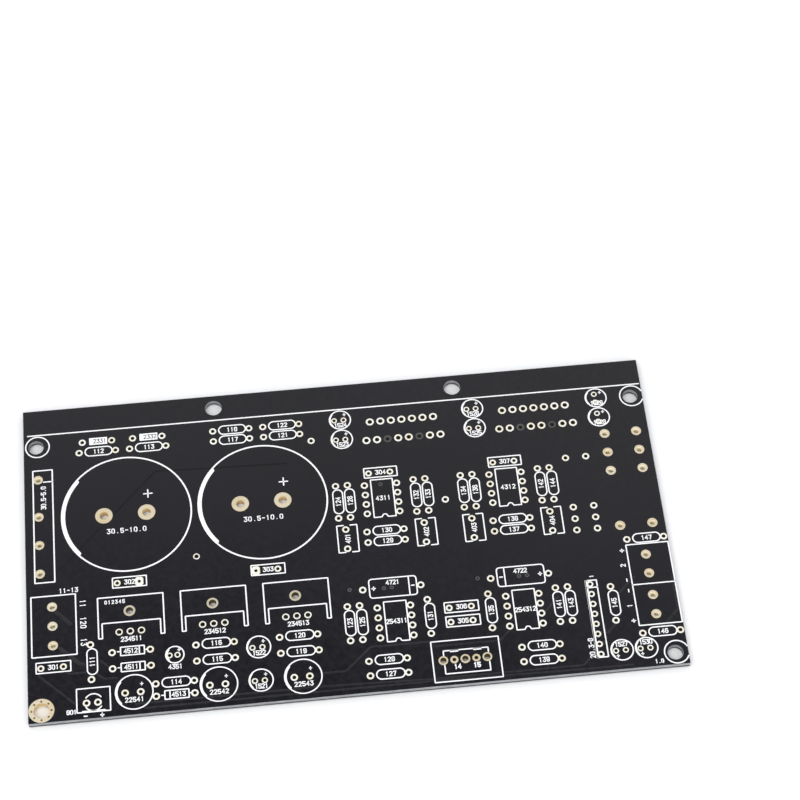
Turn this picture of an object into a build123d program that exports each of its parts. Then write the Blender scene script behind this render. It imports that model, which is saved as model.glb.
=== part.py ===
from build123d import *
import os

os.makedirs("parts", exist_ok=True)

# The bare circuit board of a two-channel audio amplifier with its supply, before any part is soldered in.
# Lengths are millimetres. The origin is at the middle of the underside, +X runs along the board to the
# output end, +Y to the edge that meets the heat sink, and +Z up from the side that carries the parts.
# Places are measured from the left end and from the front edge, unless a name says otherwise.

# Board
board_thickness = 1.6
heat_sink_strip = 6.8
block_gap = 1.45

# Fixing holes
corner_hole_diameter = 3.6
corner_hole_inset = 3.0
strip_hole_diameter = 4.0
strip_hole_first_x = 45.7
strip_hole_spacing = 57.8
fixing_ring_diameter = 5.9
earth_land_diameter = 5.8

# Drills and lands
wire_drill = 0.8
fine_drill = 0.7
pin_drill = 1.0
post_drill = 1.3
capacitor_drill = 2.0
lug_drill = 1.7
wire_drill_sides = 5
post_sides = 6
land_sides = 8
earth_land_sides = 24
post_land = 2.3
relay_land = 2.4
capacitor_land = 4.1
lug_land = 2.7
test_land = 2.2

# Printed lines
ink_thickness = 0.05
line_width = 0.3
bold_line_width = 1.0
print_shift_x = 0.3
print_shift_y = 0.1
small_ring_sides = 8
can_ring_sides = 10
fixing_ring_sides = 12
large_ring_sides = 32

# Lead spacings
resistor_spacing = 8.65
small_diode_spacing = 7.0
box_capacitor_spacing = 5.08
link_spacing = 4.85
small_can_spacing = 1.8
can_spacing = 2.25
large_can_spacing = 3.5
coupling_spacing = 13.4
reservoir_spacing = 10.0
led_spacing = 2.54
chip_pitch = 2.54
chip_row_spacing = 7.62
power_chip_row_spacing = 5.08
connector_pitch = 2.5
terminal_pitch = 4.9
regulator_lug_offset = 5.2

# Printed bodies
resistor_body = (6.7, 2.6)
resistor_body_corner = 0.9
small_diode_body = (4.3, 1.9)
power_diode_body = (5.2, 2.4)
power_diode_lead = 0.9
power_diode_band_inset = 1.3
box_capacitor_body = (8.1, 2.9)
film_capacitor_body = (5.0, 7.4)
film_capacitor_opening = 1.6
coupling_body = (11.25, 5.15)
coupling_band_inset = 1.8
coupling_body_corner = 0.8
small_can_diameter = 4.4
can_diameter = 5.7
close_can_diameter = 5.35
large_can_diameter = 8.7
reservoir_diameter = 30.7
led_body = (7.8, 6.1)
led_body_offset = 0.6
led_ring_diameter = 4.2
chip_body = (5.45, 10.4)
chip_notch = 1.6
heat_sink_body = (15.3, 6.85)
heat_sink_leg = (1.15, 3.75)
heat_sink_lug_offset = 0.45
mains_terminal_body = (10.5, 15.6)
output_terminal_body = (10.2, 10.6)
output_body_offset = 0.35
bridge_body = (4.9, 30.2)
bridge_body_offset = 0.8
bridge_divider = (2.45, 3.3)
connector_body = (15.7, 10.4)
connector_body_offset = -0.3
connector_well = (10.5, 6.0)
connector_well_offset = -0.6
connector_key = (1.6, 0.8)
protection_body = (2.9, 19.8)
protection_bar = 0.75

# Supply end: columns
mains_x = 5.9
bridge_x = 3.3
led_x = 14.35
regulator_first_x = 23.5
regulator_pitch = 19.0
bridge_clearance = 1.6
reservoir_gap = 1.3
reservoir_side_gap = 1.0
top_pair_offset = 6.0
input_bypass_x = 5.6
sense_pad_inset = 2.2

# Supply end: rows. A drop is how far a row lies in front of the one that it keeps to.
can_y = 5.45
low_diode_y = 3.95
low_resistor_y = 7.0
adjust_rows = (11.7, 15.7)
regulator_pin_y = 20.7
bypass_y = 33.2
reservoir_front_gap = 1.2
reservoir_rear_gap = 0.95
upper_row_pitch = 2.8
rear_corner_drop = 0.3
sense_pad_drop = 2.2
input_bypass_y = 13.35
mains_y = 23.7
led_y = 3.85
led_resistor_y = 13.85
bridge_drop = 1.35
bridge_pin_gaps = (7.5, 7.5, 10.0)
test_pad_y = 38.3

# Two amplifier channels, mirrored about a line through the input connector
channel_offset = 14.8
near_column = 7.8
far_column = 10.6
film_capacitor_column = 9.2
gain_resistor_offset = 17.4
gain_resistor_rows = (4.1, 7.7)
connector_y = 6.2
filter_chip_y = 17.05
filter_resistor_y = 17.55
centre_bypass_x_shift = 0.3
centre_bypass_rows = (15.6, 19.2)
coupling_y = 25.75
feedback_rows = (37.9, 40.7)
film_capacitor_y = 39.3
mute_pad_y = 47.5
input_chip_y = 49.3
chip_bypass_y = 56.3
power_chip_offset = -8.1
power_chip_pitch = 31.95
power_chip_drop = 5.95
power_can_offset = -15.0
rear_can_pitch = 5.4

# Output end: columns are measured inwards from the right end
output_x = 5.8
output_rows = (15.45, 25.95)
relay_columns = (3.0, 10.6)
relay_front_y = 36.5
relay_drops = (19.95, 14.9, 9.75)
link_x = 18.4
link_rows = (36.3, 39.3, 42.4, 55.8)
output_resistor_x = 5.3
output_resistor_rows = (8.45, 32.65)
sense_resistor_x = 15.2
sense_resistor_y = 16.6
delay_can_columns = (9.6, 15.2)
delay_can_y = 4.7
rear_can_x = 11.6
protection_x = 19.8
protection_y = 13.1
output_length = 22.5

# Sizes that follow
regulator_columns = [regulator_first_x + i * regulator_pitch for i in range(3)]
regulator_gaps = [x + regulator_pitch / 2 for x in regulator_columns[:-1]]
reservoir_radius = reservoir_diameter / 2
reservoir_first_x = bridge_x + bridge_body_offset + bridge_body[0] / 2 + bridge_clearance + reservoir_radius
reservoir_columns = [reservoir_first_x, reservoir_first_x + reservoir_diameter + reservoir_gap]
reservoir_y = bypass_y + box_capacitor_body[1] / 2 + reservoir_front_gap + reservoir_radius
upper_resistor_y = reservoir_y + reservoir_radius + reservoir_rear_gap + resistor_body[1] / 2
sense_pad_y = upper_resistor_y - sense_pad_drop
top_row_y = upper_resistor_y + upper_row_pitch
rear_corner_y = top_row_y - rear_corner_drop
rear_can_rows = (top_row_y - rear_can_pitch, top_row_y)
relay_rows = [relay_front_y, *[rear_corner_y - drop for drop in relay_drops]]
power_chip_front_y = rear_corner_y - power_chip_drop
adjust_can_y = sum(adjust_rows) / 2
channel_reach = channel_offset + film_capacitor_column + film_capacitor_body[0] / 2 + block_gap
regulator_end = regulator_columns[-1] + heat_sink_body[0] / 2 + block_gap + channel_reach
reservoir_end = reservoir_columns[-1] + reservoir_radius + reservoir_side_gap + resistor_body[1] / 2
channel_axis = max(regulator_end, reservoir_end + far_column + channel_offset)
supply_length = channel_axis - channel_reach
board_length = channel_axis + channel_reach + output_length
strip_line_y = rear_corner_y + fixing_ring_diameter / 2 + line_width
board_width = strip_line_y + line_width / 2 + heat_sink_strip
channels = [channel_axis - channel_offset, channel_axis + channel_offset]
power_chips = [channel_axis + power_chip_offset + i * power_chip_pitch for i in range(2)]


def place(x, y, turn=0):
    """A place on the board, from its left end and front edge, turned about the upright."""
    return Pos(x - board_length / 2, y - board_width / 2) * Rot(0, 0, turn)


def row(count, spacing):
    """Points along X, evenly spaced about the middle."""
    return [((i - (count - 1) / 2) * spacing, 0) for i in range(count)]


def column(count, spacing):
    """Points along Y, evenly spaced about the middle."""
    return [(y, x) for x, y in row(count, spacing)]


def bar(length, width, x=0, y=0):
    return Pos(x, y) * Rectangle(length, width)


def frame(size, corner=0):
    """A printed outline of a body, with its corners cut off where the body is round-ended."""
    length, width = size
    outer = Rectangle(length, width)
    inner = Rectangle(length - 2 * line_width, width - 2 * line_width)
    if corner:
        outer = chamfer(outer.vertices(), corner)
        inner = chamfer(inner.vertices(), corner - line_width / 2)
    return outer - inner


def disc(diameter, sides):
    return RegularPolygon(diameter / 2, sides)


def ring(diameter, sides, width=line_width):
    return disc(diameter, sides) - disc(diameter - 2 * width, sides)


def can_outline(diameter, sides=small_ring_sides, bold=line_width):
    """A round can, with the side by its negative lead drawn bold."""
    side = bar(bold, diameter / 2, (bold - diameter) / 2)
    return ring(diameter, sides) + (ring(diameter, sides, bold) & side)


def small_diode_outline():
    """A solid white body."""
    return Rectangle(*small_diode_body)


def power_diode_outline():
    """A body with a band at its cathode and a short line at each lead."""
    length, width = power_diode_body
    reach = (length + power_diode_lead) / 2
    outline = frame(power_diode_body) + bar(line_width, width, length / 2 - power_diode_band_inset)
    return outline + bar(power_diode_lead, line_width, -reach) + bar(power_diode_lead, line_width, reach)


def film_capacitor_outline():
    """Two brackets, open at the leads."""
    return frame(film_capacitor_body) - Rectangle(film_capacitor_opening, film_capacitor_body[1])


def coupling_outline():
    """A rounded box with a band at its positive end."""
    length, width = coupling_body
    band = bar(line_width, width, length / 2 - coupling_band_inset)
    return frame(coupling_body, coupling_body_corner) + band


def reservoir_outline():
    return can_outline(reservoir_diameter, large_ring_sides, bold_line_width)


def led_outline():
    """The light's own circle over its leads, in a box that reaches further back."""
    return Pos(0, led_body_offset) * frame(led_body) + ring(led_ring_diameter, small_ring_sides)


def chip_outline():
    """An eight-pin body, notched at the end of its first pin."""
    notch = Pos(0, -chip_body[1] / 2) * Rectangle(chip_notch, chip_notch)
    cut = Pos(0, -chip_body[1] / 2) * Rectangle(chip_notch - 2 * line_width, chip_notch - 2 * line_width)
    return frame(chip_body) + (notch & Rectangle(*chip_body)) - cut


def heat_sink_shape(inset):
    """A heat sink from above: a long body with a leg forward at each end."""
    length, depth = heat_sink_body
    leg_width, leg_depth = heat_sink_leg
    leg = Rectangle(leg_width - 2 * inset, depth + leg_depth - 2 * inset)
    reach = (length - leg_width) / 2
    legs = [Pos(side * reach, -leg_depth / 2) * leg for side in (-1, 1)]
    return Rectangle(length - 2 * inset, depth - 2 * inset) + legs


def regulator_outline():
    """The heat sink that a regulator is screwed to, as one closed line."""
    middle = Pos(0, regulator_lug_offset + heat_sink_lug_offset)
    return middle * (heat_sink_shape(0) - heat_sink_shape(line_width))


def bridge_outline():
    """A narrow box, with a short line across at the positive lead."""
    width, length = bridge_body
    divider_length, divider_inset = bridge_divider
    across = bar(divider_length, line_width, (width - divider_length) / 2, length / 2 - divider_inset)
    return Pos(bridge_body_offset, 0) * (frame(bridge_body) + across)


def connector_outline():
    """The shell and the well of the plug, with two keys at the well's rear wall."""
    key_length, key_depth = connector_key
    rear = connector_well[1] / 2 - key_depth / 2
    reach = connector_well[0] / 4
    well = frame(connector_well) + [bar(key_length, key_depth, side * reach, rear) for side in (-1, 1)]
    return Pos(0, connector_body_offset) * frame(connector_body) + Pos(0, connector_well_offset) * well


def protection_outline():
    """A tall box with a bold back and a line above the first lead."""
    width, length = protection_body
    back = bar(protection_bar, length, (protection_bar - width) / 2)
    across = bar(width, line_width, 0, (length - chip_pitch) / 2 - protection_bar)
    return frame(protection_body) + back + across


class PartKind:
    """A kind of part: its leads, the drill and land of each, and what is printed round it."""

    def __init__(self, leads, sites, outline=None, drill=wire_drill, land=None, sides=post_sides):
        self.leads = leads
        self.sites = sites
        self.outline = outline
        self.drill = drill
        self.land = land
        self.sides = sides

    def lead_points(self):
        return [site * Pos(x, y) for site in self.sites for x, y in self.leads]


def both_channels(offsets, y, turn=0):
    """Sites mirrored about the channels' line."""
    return [place(channel_axis + side * offset, y, turn) for side in (-1, 1) for offset in offsets]


def from_right(inset, y, turn=0):
    return place(board_length - inset, y, turn)


near_columns = [channel_offset - near_column, channel_offset + near_column, channel_offset + far_column]
flat_resistors = [
    *[place(x + side * top_pair_offset, upper_resistor_y) for x in reservoir_columns for side in (-1, 1)],
    *[place(reservoir_columns[1] + side * top_pair_offset, top_row_y) for side in (-1, 1)],
    *[place(x, y) for x in regulator_columns[1:] for y in adjust_rows],
    place(regulator_gaps[0], low_resistor_y),
    *[place(x, y) for x in channels for y in feedback_rows],
    *[site for y in gain_resistor_rows for site in both_channels([gain_resistor_offset], y)],
    *[from_right(output_resistor_x, y) for y in output_resistor_rows],
]
upright_resistors = [
    place(led_x, led_resistor_y, 90),
    *both_channels(near_columns, filter_resistor_y, 90),
    *both_channels([channel_offset - far_column, *near_columns], input_chip_y, 90),
    from_right(sense_resistor_x, sense_resistor_y, 90),
]
box_capacitors = [
    place(input_bypass_x, input_bypass_y),
    *[place(x, bypass_y) for x in reservoir_columns],
    *[place(x, chip_bypass_y) for x in channels],
    *[place(channel_axis + centre_bypass_x_shift, y) for y in centre_bypass_rows],
]
cans = [place(regulator_gaps[1], y) for y in (can_y, adjust_can_y)]
close_cans = [
    *[from_right(x, delay_can_y) for x in delay_can_columns],
    *[place(x + power_can_offset, y) for x in power_chips for y in rear_can_rows],
    *[from_right(rear_can_x, y, -90) for y in rear_can_rows],
]
chip_leads = [(side * chip_row_spacing / 2, y) for side in (-1, 1) for x, y in column(4, chip_pitch)]
power_chip_leads = row(8, chip_pitch) + [(x, power_chip_row_spacing) for x, y in row(7, chip_pitch)]
bridge_reach = sum(bridge_pin_gaps)
bridge_leads = [(0, sum(bridge_pin_gaps[:i]) - bridge_reach / 2) for i in range(len(bridge_pin_gaps) + 1)]

film_columns = [channel_offset - film_capacitor_column, channel_offset + film_capacitor_column]
regulator_sites = [place(x, regulator_pin_y) for x in regulator_columns]

kinds = {
    "resistor": PartKind(
        row(2, resistor_spacing),
        flat_resistors + upright_resistors,
        frame(resistor_body, resistor_body_corner),
    ),
    "small_diode": PartKind(
        row(2, small_diode_spacing),
        [place(reservoir_columns[0] + side * top_pair_offset, top_row_y) for side in (-1, 1)],
        small_diode_outline(),
    ),
    "power_diode": PartKind(
        row(2, resistor_spacing),
        [
            *[place(regulator_columns[0], y) for y in adjust_rows],
            place(regulator_gaps[0], low_diode_y, 180),
        ],
        power_diode_outline(),
    ),
    "box_capacitor": PartKind(
        row(2, box_capacitor_spacing),
        box_capacitors,
        frame(box_capacitor_body),
        fine_drill,
    ),
    "film_capacitor": PartKind(
        column(2, box_capacitor_spacing),
        both_channels(film_columns, film_capacitor_y),
        film_capacitor_outline(),
    ),
    "coupling_capacitor": PartKind(
        row(2, coupling_spacing),
        [place(channels[0], coupling_y), place(channels[1], coupling_y, 180)],
        coupling_outline(),
    ),
    "small_can": PartKind(
        row(2, small_can_spacing),
        [place(regulator_gaps[0], adjust_can_y)],
        can_outline(small_can_diameter),
        fine_drill,
    ),
    "can": PartKind(
        row(2, can_spacing),
        cans,
        can_outline(can_diameter, can_ring_sides),
        fine_drill,
    ),
    "close_can": PartKind(
        row(2, can_spacing),
        close_cans,
        can_outline(close_can_diameter),
        fine_drill,
    ),
    "large_can": PartKind(
        row(2, large_can_spacing),
        [place(x, can_y) for x in regulator_columns],
        can_outline(large_can_diameter, can_ring_sides, bold_line_width),
    ),
    "reservoir_capacitor": PartKind(
        row(2, reservoir_spacing),
        [place(x, reservoir_y) for x in reservoir_columns],
        reservoir_outline(),
        capacitor_drill,
        capacitor_land,
        land_sides,
    ),
    "led": PartKind(row(2, led_spacing), [place(led_x, led_y)], led_outline()),
    "chip": PartKind(
        chip_leads,
        [place(x, y) for x in channels for y in (filter_chip_y, input_chip_y)],
        chip_outline(),
    ),
    "power_chip": PartKind(
        power_chip_leads,
        [place(x, power_chip_front_y) for x in power_chips],
        drill=pin_drill,
    ),
    "regulator": PartKind(row(3, chip_pitch), regulator_sites, regulator_outline(), pin_drill),
    "regulator_lug": PartKind(
        [(0, regulator_lug_offset)],
        regulator_sites,
        drill=lug_drill,
        land=lug_land,
        sides=land_sides,
    ),
    "bridge_rectifier": PartKind(
        bridge_leads,
        [place(bridge_x, reservoir_y - bridge_drop)],
        bridge_outline(),
        post_drill,
        post_land,
    ),
    "mains_terminal": PartKind(
        column(3, terminal_pitch),
        [place(mains_x, mains_y)],
        frame(mains_terminal_body),
        post_drill,
        post_land,
    ),
    "output_terminal": PartKind(
        column(2, terminal_pitch),
        [from_right(output_x, y) for y in output_rows],
        Pos(output_body_offset, 0) * frame(output_terminal_body),
        post_drill,
        post_land,
    ),
    "input_connector": PartKind(
        row(5, connector_pitch),
        [place(channel_axis, connector_y)],
        connector_outline(),
        pin_drill,
        post_land,
    ),
    "protection_chip": PartKind(
        column(8, chip_pitch),
        [from_right(protection_x, protection_y)],
        protection_outline(),
        fine_drill,
    ),
    "relay": PartKind(
        [(0, 0)],
        [from_right(x, y) for x in relay_columns for y in relay_rows],
        drill=post_drill,
        land=relay_land,
    ),
    "link": PartKind(row(2, link_spacing), [from_right(link_x, y) for y in link_rows]),
    "test_point": PartKind(
        [(0, 0)],
        [place(sum(reservoir_columns) / 2, test_pad_y)],
        drill=pin_drill,
        land=test_land,
    ),
    "sense_pad": PartKind(
        [(0, 0)],
        [place(supply_length - sense_pad_inset, sense_pad_y), place(channel_axis, mute_pad_y)],
    ),
}
corner_xs = (corner_hole_inset, board_length - corner_hole_inset)
earth_site = place(corner_hole_inset, corner_hole_inset)
corner_sites = [place(x, y) for x in corner_xs for y in (corner_hole_inset, rear_corner_y)]
strip_sites = [
    place(strip_hole_first_x + i * strip_hole_spacing, board_width - heat_sink_strip / 2) for i in range(2)
]


def make_board():
    """The laminate under its black coat, with every hole that is drilled in it."""
    sheet = Rectangle(board_length, board_width)
    holes = [site * Circle(corner_hole_diameter / 2) for site in corner_sites[1:]]
    holes += [site * Circle(strip_hole_diameter / 2) for site in strip_sites]
    holes.append(earth_site * disc(earth_land_diameter, earth_land_sides))
    for kind in kinds.values():
        if kind.land:
            hole = disc(kind.land, kind.sides)
        else:
            hole = disc(kind.drill, wire_drill_sides)
        holes += [point * hole for point in kind.lead_points()]
    return extrude(sheet - holes, board_thickness)


def make_lands(kind):
    """Gold-faced plated holes, level with both sides of the board."""
    section = disc(kind.land, kind.sides) - disc(kind.drill, kind.sides)
    land = extrude(section, board_thickness)
    return [point * land for point in kind.lead_points()]


def make_earth_land():
    section = disc(earth_land_diameter, earth_land_sides) - Circle(corner_hole_diameter / 2)
    return [earth_site * extrude(section, board_thickness)]


def printed(sketch, site):
    """Ink on the board's upper side, a little off the drilled holes as the print is."""
    shift = Pos(print_shift_x, print_shift_y, board_thickness)
    return (shift * site * extrude(sketch, ink_thickness)).solids()


def make_fixing_rings():
    """A ring round each plain corner hole, cut off where it would run over the board's end."""
    shift = Pos(print_shift_x, print_shift_y)
    circle = ring(fixing_ring_diameter, fixing_ring_sides)
    rings = [(shift * site * circle) & Rectangle(board_length, board_width) for site in corner_sites[1:]]
    return [Pos(0, 0, board_thickness) * extrude(sketch, ink_thickness).solid() for sketch in rings]


def save(name, solids):
    export_step(Compound(label=name, children=solids), f"parts/{name}.step")


save("board", make_board().solids())
save("earth_land", make_earth_land())
for name, kind in kinds.items():
    if kind.land:
        save(f"{name}_lands", make_lands(kind))
    if kind.outline:
        save(f"{name}_outlines", [solid for site in kind.sites for solid in printed(kind.outline, site)])
save("fixing_ring_outlines", make_fixing_rings())
strip_line = bar(board_length - 2 * print_shift_x - 2 * line_width, line_width)
save("strip_line", printed(strip_line, place(board_length / 2, strip_line_y)))
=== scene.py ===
import bpy
import bmesh
import math
from mathutils import Matrix, Vector


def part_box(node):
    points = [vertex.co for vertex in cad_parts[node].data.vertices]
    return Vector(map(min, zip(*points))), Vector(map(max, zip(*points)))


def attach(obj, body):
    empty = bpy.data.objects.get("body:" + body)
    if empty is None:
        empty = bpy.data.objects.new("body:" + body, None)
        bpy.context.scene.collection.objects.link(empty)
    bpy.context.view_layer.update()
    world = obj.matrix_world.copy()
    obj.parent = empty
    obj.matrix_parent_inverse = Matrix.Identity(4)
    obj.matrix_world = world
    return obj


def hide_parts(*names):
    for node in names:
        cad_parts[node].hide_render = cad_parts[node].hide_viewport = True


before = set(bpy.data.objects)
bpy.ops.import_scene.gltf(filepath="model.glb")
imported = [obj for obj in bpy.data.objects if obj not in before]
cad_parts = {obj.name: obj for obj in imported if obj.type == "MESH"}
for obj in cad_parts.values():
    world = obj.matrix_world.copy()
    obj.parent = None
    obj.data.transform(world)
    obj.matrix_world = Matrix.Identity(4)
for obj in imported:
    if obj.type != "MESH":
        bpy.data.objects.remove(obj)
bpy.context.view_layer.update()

# Everything is worked out in millimetres in the frame and turned to metres as it is built.
MM = 0.001
WELD = 1e-6
SAME_PLACE = 0.1

board_low, board_high = [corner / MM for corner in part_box("board")]
LEFT, FRONT = board_low.x, board_low.y
RIGHT, REAR = board_high.x, board_high.y
TOP = board_high.z

# Where one row of parts ends and the next begins
FRONT_DIODES = FRONT + 8
CORNER_CANS_LEFT, CORNER_CANS_REAR = RIGHT - 20, FRONT + 10
FRONT_CHIPS = FRONT + 40
POWER_CHIPS = FRONT + 60

# Layers: how deep the coat lies, and how far tracks, print and lands stand above it
MASK_DEPTH = 0.035
TRACK_RISE = 0.008
SEAM_RISE = TRACK_RISE / 3
PRINT_RISE = 0.016
LAND_RISE = 0.024

# The board's plan corners, and how far the coats stop short of its edges
END_ROUND = 0.2
COAT_INSET = 0.06

# Printed lines and their corners
LINE = 0.3
FIRM_LINE = 0.32
BOLD = 1.0
CORNER = 0.12
PATCH_CORNER = 0.1
TRACK_CORNER = 0.5

# Sides of what is round
TINY_STEPS = 12
SMALL_LAND_STEPS = 24
ROUND_STEPS = 28
LAND_STEPS = 40
HOLE_STEPS = 64
EARTH_STEPS = 72
CIRCLE_STEPS = 96
CAPSULE_STEPS = 16
CORNER_STEPS = 4
SMOOTH_ANGLE = 40

# Small bores are drawn this much wider than the sided holes of the solids, which fall inside the round drill
BORE_ALLOWANCE = 0.06

# Drill radii that tell the kinds of hole apart
THIN_WIRE_RADIUS = 0.38
WIRE_RADIUS = 0.45
PIN_RADIUS = 1.5
CORNER_HOLE_RADIUS = 1.9

# Land diameters by the drill, and by what is fitted
WIRE_LAND = 1.72
PIN_LAND = 1.95
REGULATOR_PIN_LAND = 1.7
BOX_LAND = 1.62
CAN_LAND = 1.42
CHIP_PIN_LAND = 1.56
COVERED_LAND = 1.9
VIA_LAND, VIA_DRILL = 1.0, 0.45
POST_LAND, POST_DRILL = 2.2, 1.4
SIGNAL_LAND, SIGNAL_DRILL = 1.85, 0.85
TEST_LAND_TOP, TEST_LAND_UNDERSIDE = 1.55, 3.0

# The metal of a land: its softened edge, the dish towards its bore, and the lining
LAND_EDGE = 0.02
LAND_DISH = 0.004
LINING = 0.02
WALL = 0.03
THIN = 0.01

# Circles with a bold arc: how far it reaches either way, in degrees, how far the thin line runs on under it,
# and how far it stands above other print
BOLD_REACH = 40
BOLD_OVERLAP = 3
BOLD_TOP = TOP + PRINT_RISE + 0.003

# Lettering is plain numbers, drawn with round-ended strokes
DIGIT_HEIGHT = 1.02
DIGIT_STEP = 0.86
DIGIT_WIDTH = 0.56
DIGIT_STROKE = 0.23
PLUS_HEIGHT = 1.0
SIGN_HEIGHT, SIGN_WIDTH, SIGN_STROKE = 1.2, 0.75, 0.3


# Reading the frame

def welded(node):
    """A copy of a CAD node's mesh with its split corners joined."""
    mesh = bmesh.new()
    mesh.from_mesh(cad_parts[node].data)
    bmesh.ops.remove_doubles(mesh, verts=mesh.verts, dist=WELD)
    return mesh


def groups_of(verts, edges):
    """The verts in groups that the edges join."""
    links = {vert: [] for vert in verts}
    for edge in edges:
        a, b = edge.verts
        links[a].append(b)
        links[b].append(a)
    seen = set()
    groups = []
    for start in verts:
        if start in seen:
            continue
        stack = [start]
        group = []
        while stack:
            vert = stack.pop()
            if vert in seen:
                continue
            seen.add(vert)
            group.append(vert.co / MM)
            stack += links[vert]
        groups.append(group)
    return groups


def extent(points):
    """Lowest and highest x and y."""
    xs = [p.x for p in points]
    ys = [p.y for p in points]
    return min(xs), min(ys), max(xs), max(ys)


def rims(node):
    """Centre x, centre y and radius of each closed rim on a node's upper face."""
    mesh = welded(node)
    top = max(vert.co.z for vert in mesh.verts)
    level = [vert for vert in mesh.verts if abs(vert.co.z - top) < WELD]
    flat = set(level)
    edges = [
        edge for edge in mesh.edges
        if flat.issuperset(edge.verts) and sum(abs(face.normal.z) > 0.9 for face in edge.link_faces) == 1
    ]
    found = []
    for group in groups_of(level, edges):
        x = sum(p.x for p in group) / len(group)
        y = sum(p.y for p in group) / len(group)
        found.append((x, y, max(math.hypot(p.x - x, p.y - y) for p in group)))
    mesh.free()
    return found


def joined(box, other):
    """The box round two boxes."""
    return [min(box[0], other[0]), min(box[1], other[1]), max(box[2], other[2]), max(box[3], other[3])]


def boxes(node, gap=0.0):
    """The plan box of each printed outline in a node. Parts nearer than gap count as one."""
    mesh = welded(node)
    found = [list(extent(group)) for group in groups_of(list(mesh.verts), list(mesh.edges))]
    mesh.free()
    merged = []
    while found:
        box = found.pop()
        near = [
            other for other in found
            if other[0] < box[2] + gap and other[2] > box[0] - gap
            and other[1] < box[3] + gap and other[3] > box[1] - gap
        ]
        if near and gap:
            for other in near:
                found.remove(other)
                box = joined(box, other)
            found.append(box)
        else:
            merged.append(box)
    return sorted(merged)


def centre(box):
    return (box[0] + box[2]) / 2, (box[1] + box[3]) / 2


def is_upright(box):
    return box[3] - box[1] > box[2] - box[0]


def holds(box, x, y, margin=0.2):
    return box[0] - margin < x < box[2] + margin and box[1] - margin < y < box[3] + margin


def at(x, y):
    """A place measured from the board's left end and front edge."""
    return LEFT + x, FRONT + y


# Building meshes

def link(name, data):
    """A new object in the scene."""
    made = bpy.data.objects.new(name, data)
    bpy.context.scene.collection.objects.link(made)
    return made


def piece(name, mesh, materials, node_names=()):
    """Turns a bmesh into a piece that rides on the board."""
    bmesh.ops.recalc_face_normals(mesh, faces=mesh.faces)
    data = bpy.data.meshes.new(name)
    mesh.to_mesh(data)
    mesh.free()
    for material in materials:
        data.materials.append(material)
    data.shade_smooth()
    data.set_sharp_from_angle(angle=math.radians(SMOOTH_ANGLE))
    made = link(name, data)
    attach(made, "root")
    if node_names:
        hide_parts(*node_names)


def circle(x, y, radius, steps):
    angles = [2 * math.pi * i / steps for i in range(steps)]
    return [(x + radius * math.cos(a), y + radius * math.sin(a)) for a in angles]


def lathe(mesh, x, y, profile, steps=ROUND_STEPS, bore=()):
    """Turns a closed (radius, height) profile about an upright axis.

    The sides of the profile that are listed in bore get the second material.
    """
    rings = []
    for k in range(steps):
        angle = 2 * math.pi * k / steps
        c, s = math.cos(angle), math.sin(angle)
        rings.append([mesh.verts.new(((x + r * c) * MM, (y + r * s) * MM, z * MM)) for r, z in profile])
    for k in range(steps):
        here, there = rings[k], rings[(k + 1) % steps]
        for i in range(len(profile)):
            j = (i + 1) % len(profile)
            face = mesh.faces.new((here[i], there[i], there[j], here[j]))
            face.material_index = 1 if i in bore else 0


def sheet(name, outline, holes, low, high):
    """A flat plate between two heights, with holes of any outline."""
    curve = bpy.data.curves.new(name, "CURVE")
    curve.dimensions = "2D"
    curve.fill_mode = "BOTH"
    curve.extrude = (high - low) / 2 * MM
    for points in [outline, *holes]:
        spline = curve.splines.new("POLY")
        spline.points.add(len(points) - 1)
        for point, (x, y) in zip(spline.points, points):
            point.co = (x * MM, y * MM, 0, 1)
        spline.use_cyclic_u = True
    holder = link(name + "_curve", curve)
    flat = bpy.data.meshes.new_from_object(holder)
    flat.transform(Matrix.Translation((0, 0, (high + low) / 2 * MM)))
    bpy.data.objects.remove(holder)
    bpy.data.curves.remove(curve)
    mesh = bmesh.new()
    mesh.from_mesh(flat)
    bpy.data.meshes.remove(flat)
    bmesh.ops.remove_doubles(mesh, verts=mesh.verts, dist=WELD / 10)
    return mesh


# A corner takes a little less than half of each side that it joins
CORNER_SHARE = 0.4975


def rounded(points, radius, closed=False):
    """The path with each sharp corner turned into a small arc."""
    count = len(points)
    path = []
    for i, (x, y) in enumerate(points):
        if not closed and i in (0, count - 1):
            path.append((x, y))
            continue
        before = Vector(points[i - 1]) - Vector((x, y))
        after = Vector(points[(i + 1) % count]) - Vector((x, y))
        reach = min(radius, before.length * CORNER_SHARE, after.length * CORNER_SHARE)
        start = Vector((x, y)) + before.normalized() * reach
        end = Vector((x, y)) + after.normalized() * reach
        for k in range(CORNER_STEPS + 1):
            t = k / CORNER_STEPS
            point = start * (1 - t) ** 2 + Vector((x, y)) * 2 * t * (1 - t) + end * t ** 2
            path.append((point.x, point.y))
    return path


# A line's edges slope over a fifth of its width at most, and a sharp turn at most doubles its width
SOFT_EDGE = 0.04
SOFT_SHARE = 0.2
LEAST_TURN = 0.5
CAP_ANGLES = (30, 60, 85)


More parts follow.
